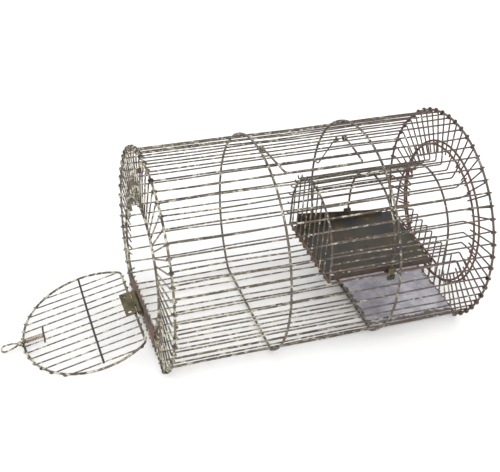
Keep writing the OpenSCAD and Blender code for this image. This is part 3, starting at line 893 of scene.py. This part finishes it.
def trayPlace(x, s):
    side = 1 if s > 0 else -1
    bend = tray["bend"]
    flat = trayHalf - bend
    run = abs(s) - flat
    dent = 0.12 * mm * math.sin(x * 95 + 1) * math.sin(s * 120) + 0.08 * mm * math.sin(x * 210 + s * 160)
    middleX = middle("platform_plate").x
    if run <= 0:
        return Vector((middleX + x, s, trayZ + dent * min(1, -run / (10 * mm))))
    turn = run / bend
    if turn < math.pi / 2:
        y = side * (flat + bend * math.sin(turn))
        return Vector((middleX + x, y, trayZ + bend - bend * math.cos(turn)))
    share = (run - bend * math.pi / 2) / (sideHigh - bend)
    wave = 0.2 * mm * math.sin(x * 170) * share
    z = trayZ + bend + share * (sideHeight(x) - bend)
    return Vector((middleX + x, side * trayHalf - abs(wave) * side, z))


def platformTray():
    girth = 2 * (trayHalf - tray["bend"] + tray["bend"] * math.pi / 2 + sideHigh - tray["bend"])
    edge = trayHalf / girth

    def keep(at):
        inRange = tray["sideFrom"] < (at.x + 0.5) * trayLength < trayLength - tray["sideTo"]
        return inRange or abs(at.y) < edge

    sheetPiece("platformTray", (trayLength, girth), (72, 110), trayPlace, tray["sheet"], traySheet,
               "platform", ["platform_plate"], keep)


# Two round-ended lugs, folded down from the tray, hold the axle.
def trayLugs():
    mesh = bpy.data.meshes.new("trayLugs")
    lugs = bmesh.new()
    axle = middle("platform_axle")
    radius = tray["lugWide"] / 2
    drop = axle.z - plateLow.z - radius
    for side in (-1, 1):
        y = side * (trayHalf - tray["sheet"] / 2 * (1 - side))
        low = bmesh.ops.create_circle(
            lugs, cap_ends=True, segments=32, radius=radius,
            matrix=Matrix.Translation((axle.x, y, axle.z - drop)) @ Matrix.Rotation(math.pi / 2, 4, "X"))
        for v in low["verts"]:
            if v.co.z > axle.z:
                v.co.z = trayZ
    bmesh.ops.solidify(lugs, geom=lugs.faces[:], thickness=tray["sheet"])
    bmesh.ops.recalc_face_normals(lugs, faces=lugs.faces)
    lugs.to_mesh(mesh)
    lugs.free()
    mesh.materials.append(traySheet)
    piece = bpy.data.objects.new("trayLugs", mesh)
    bpy.context.scene.collection.objects.link(piece)
    settle(piece, "platform", ["platform_plate"])


# A rough cast block.
def castBlock():
    low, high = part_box("counterweight")
    mesh = bpy.data.meshes.new("ironWeight")
    block = bmesh.new()
    placed = Matrix.Translation((low + high) / 2) @ Matrix.Diagonal((*(high - low), 1))
    bmesh.ops.create_cube(block, size=1, matrix=placed)
    bmesh.ops.bevel(
        block, geom=block.edges[:], offset=1.2 * mm, segments=3, profile=0.5,
        affect="EDGES", material=-1)
    block.to_mesh(mesh)
    block.free()
    mesh.materials.append(castIron)
    piece = bpy.data.objects.new("ironWeight", mesh)
    bpy.context.scene.collection.objects.link(piece)
    settle(piece, "platform", ["counterweight"])


# The floor sheet lies on the bottom bars, a little buckled.
def floorPlace(x, y):
    centre = middle("floor_sheet")
    buckle = 0.25 * mm * math.sin(x * 75 + y * 20) * math.cos(y * 60)
    return Vector((centre.x + x, centre.y + y, centre.z + 0.3 * mm + max(-0.25 * mm, buckle)))


platformTray()
trayLugs()
castBlock()
sheetPiece("floorPlate", (sheetHigh.x - sheetLow.x, sheetHigh.y - sheetLow.y), (40, 48), floorPlace,
           0.6 * mm, zincSheet, "cage", ["floor_sheet"])
print("platform and floor made")


# Handle and bait hook: wires with eyes wound round the top bar
handle = {
    "wireD": 2 * mm, "eyeR": 2.6 * mm, "turns": 1.2, "pitch": 2.1 * mm, "rightX": 38 * mm,
    "shoulderY": -13 * mm, "shoulderUp": 1.6 * mm, "gripLeft": -37 * mm, "gripRight": 41 * mm,
}
hook = {
    "wireD": 1.4 * mm, "eyeR": 1.9 * mm, "turns": 1.3, "pitch": 1.5 * mm, "eyeX": 30 * mm,
    "tipX": 14 * mm, "hang": 25 * mm, "barb": 4 * mm,
}
pivotZ = next(j for j in frame["joints"] if j["name"] == "handle_swing")["pos_m"][2]


# An eye round the top bar. It ends above the bar, or below it for a last turn of -0.25.
def eyeCoil(x, shape, lastTurn=0.25):
    steps = int(shape["turns"] * 16)
    path = []
    for k in range(steps + 1):
        turns = shape["turns"] * (k / steps - 1)
        turn = math.tau * (lastTurn + turns)
        path.append(Vector((
            x - turns * shape["pitch"],
            shape["eyeR"] * math.cos(turn),
            pivotZ + shape["eyeR"] * math.sin(turn))))
    return path


def carryHandle():
    low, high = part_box("carry_handle")
    reach = -low.y - handle["wireD"] / 2
    gripZ = low.z + handle["wireD"] * 0.56
    leftX, rightX = low.x + handle["wireD"] / 2, handle["rightX"]
    shoulderY = handle["shoulderY"]
    shoulderZ = pivotZ + handle["shoulderUp"]
    leftCoil = eyeCoil(leftX, handle)
    rightCoil = eyeCoil(rightX, handle)
    path = leftCoil[:-1] + rounded([
        leftCoil[-1],
        Vector((leftX + 3 * mm, shoulderY, shoulderZ)),
        Vector((handle["gripLeft"], -reach, gripZ)),
        Vector((2 * mm, -reach - 0.4 * mm, gripZ + 0.3 * mm)),
        Vector((handle["gripRight"], -reach, gripZ)),
        Vector((rightX + 1 * mm, shoulderY, shoulderZ)),
        rightCoil[-1],
    ], 4 * mm, 6) + list(reversed(rightCoil))[1:]
    wirePiece("carryHandle", [path], handle["wireD"], darkWire, "handle",
              ["carry_handle"], sides=3)


def baitHook():
    x = hook["eyeX"]
    coil = eyeCoil(x, hook, -0.25)
    low = Vector((hook["tipX"], 0, pivotZ - hook["hang"]))
    path = coil[:-1] + rounded([
        coil[-1],
        Vector((x - 1.5 * mm, 0.6 * mm, pivotZ - hook["eyeR"] - 0.6 * mm)),
        low,
        low + Vector((-hook["barb"], 0, hook["barb"])),
    ], 1.6 * mm, 6)
    wirePiece("baitHook", [path], hook["wireD"], darkWire, "hook", ["bait_hook"], sides=3)


carryHandle()
baitHook()
print("handle and hook made")


# Finishes of the pieces that the frame already shapes
finishes = {
    "dark_wire": darkWire,
    "rusty_wire": rustyWire,
    "plated_fitting": hingePlate,
}
for row in frame["record"]["subparts"]:
    finish = finishes.get(row["material_slot"])
    if finish:
        for slot in nodes[row["node"]].material_slots:
            slot.material = finish
print("finishes placed")


# Floor, light and camera
studio = {"floor": (0.93, 0.93, 0.925), "world": 1.2, "keyPower": 8.0, "fillPower": 2.0}


def studioFloor():
    mesh = bpy.data.meshes.new("studioFloor")
    ground = bmesh.new()
    bmesh.ops.create_grid(ground, x_segments=1, y_segments=1, size=6)
    ground.to_mesh(mesh)
    ground.free()
    material = bpy.data.materials.new("paleFloor")
    material.use_nodes = True
    shader = material.node_tree.nodes["Principled BSDF"]
    shader.inputs["Base Color"].default_value = (*studio["floor"], 1)
    shader.inputs["Roughness"].default_value = 0.9
    shader.inputs["Specular IOR Level"].default_value = 0.1
    mesh.materials.append(material)
    floor = bpy.data.objects.new("studioFloor", mesh)
    bpy.context.scene.collection.objects.link(floor)


def softLight(name, place, aim, size, power):
    light = bpy.data.lights.new(name, "AREA")
    light.size = size
    light.energy = power
    lamp = bpy.data.objects.new(name, light)
    bpy.context.scene.collection.objects.link(lamp)
    lamp.location = place
    lamp.rotation_mode = "QUATERNION"
    lamp.rotation_quaternion = (Vector(aim) - Vector(place)).to_track_quat("-Z", "Y")


def paleWorld():
    world = bpy.data.worlds.new("paleWorld")
    world.use_nodes = True
    background = world.node_tree.nodes["Background"]
    background.inputs["Color"].default_value = (1, 1, 1, 1)
    background.inputs["Strength"].default_value = studio["world"]
    bpy.context.scene.world = world
    bpy.context.scene.view_settings.view_transform = "Standard"


view = {
    "place": Vector((-326.5, -721.8, 643.4)) * mm,
    "aim": Vector((-52.75, 0, 96.16)) * mm,
    "roll": 0.0569,
    "lens": 67.89,
}


def setCamera():
    data = bpy.data.cameras.new("camera")
    data.lens = view["lens"]
    data.sensor_width = 36
    data.clip_start = 0.02
    data.clip_end = 50
    camera = bpy.data.objects.new("camera", data)
    bpy.context.scene.collection.objects.link(camera)
    forward = (view["aim"] - view["place"]).normalized()
    right = forward.cross(Vector((0, 0, 1))).normalized()
    down = forward.cross(right)
    c, s = math.cos(view["roll"]), math.sin(view["roll"])
    turnedRight = right * c - down * s
    turnedDown = right * s + down * c
    axes = Matrix((turnedRight, -turnedDown, -forward)).transposed()
    camera.rotation_mode = "QUATERNION"
    camera.location = view["place"]
    camera.rotation_quaternion = axes.to_quaternion()
    bpy.context.scene.camera = camera


studioFloor()
paleWorld()
softLight("key", (-0.7, -0.9, 1.3), (0, 0, 0.08), 0.9, studio["keyPower"])
softLight("fill", (0.9, -0.5, 0.9), (0, 0, 0.08), 1.2, studio["fillPower"])
setCamera()
print("studio set")
